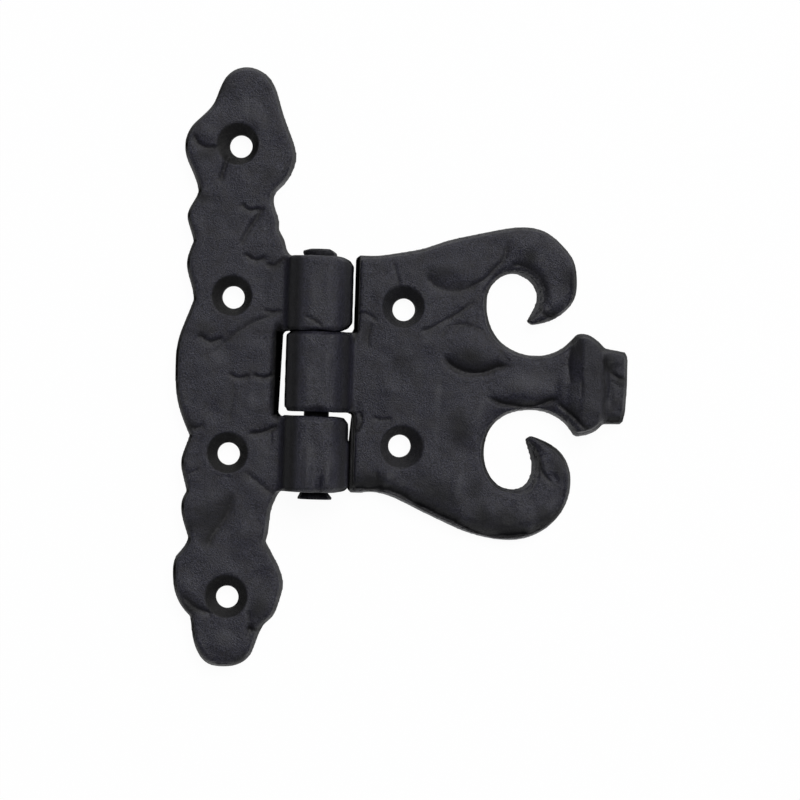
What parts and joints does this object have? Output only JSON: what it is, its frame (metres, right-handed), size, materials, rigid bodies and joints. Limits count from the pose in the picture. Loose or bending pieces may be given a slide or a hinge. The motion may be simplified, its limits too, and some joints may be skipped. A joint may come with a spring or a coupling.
{
  "type": "face mount hinge",
  "caption": "Rough cast black face mount hinge: a long wavy frame leaf and a fleur-de-lis door leaf with two curls and a collar turn on an upset pin.",
  "frame": {"origin": "in the plane of both leaves' backs, under the pin's axis, half way along the barrel", "axes": "+Z out of the fronts of the leaves, +Y along the pin and up the frame leaf, +X towards the square end of the door leaf"},
  "size_m": [0.0905, 0.12, 0.0113],
  "materials": {
    "cast_leaf": "fine-grained satin black powder coat over rough cast iron",
    "pin": "satin black powder coat over steel"
  },
  "bodies": {
    "frame": {"frame_leaf": "cast_leaf", "hinge_pin": "pin"},
    "door": {"door_leaf": "cast_leaf"}
  },
  "joints": [
    {"name": "swing", "type": "hinge", "parent": "frame", "child": "door", "pos_m": [0, 0, 0.0049], "axis": [0, -1, 0], "range_deg": [0, 180]}
  ]
}
